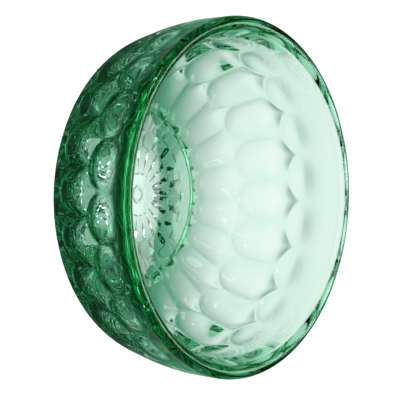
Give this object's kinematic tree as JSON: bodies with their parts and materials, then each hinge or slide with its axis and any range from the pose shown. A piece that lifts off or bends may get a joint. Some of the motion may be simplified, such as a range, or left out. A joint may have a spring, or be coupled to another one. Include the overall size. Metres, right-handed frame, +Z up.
{
  "type": "powder jar",
  "caption": "Open round powder jar in thick clear green pressed glass: smooth outside, three rows of scale-shaped dimples in the cavity, a rolled lip and a petalled rosette in the sole.",
  "frame": {"origin": "centre of the underside, on the plane the foot ring stands on", "axes": "+Z up along the jar's axis, out of the open mouth; +X passes along the ridge between two cells of the first row"},
  "size_m": [0.11, 0.11, 0.0463],
  "materials": {
    "green_glass": "fire-polished clear green glass, smooth and bright"
  },
  "bodies": {
    "root": {"jar_bowl": "green_glass"}
  },
  "joints": []
}
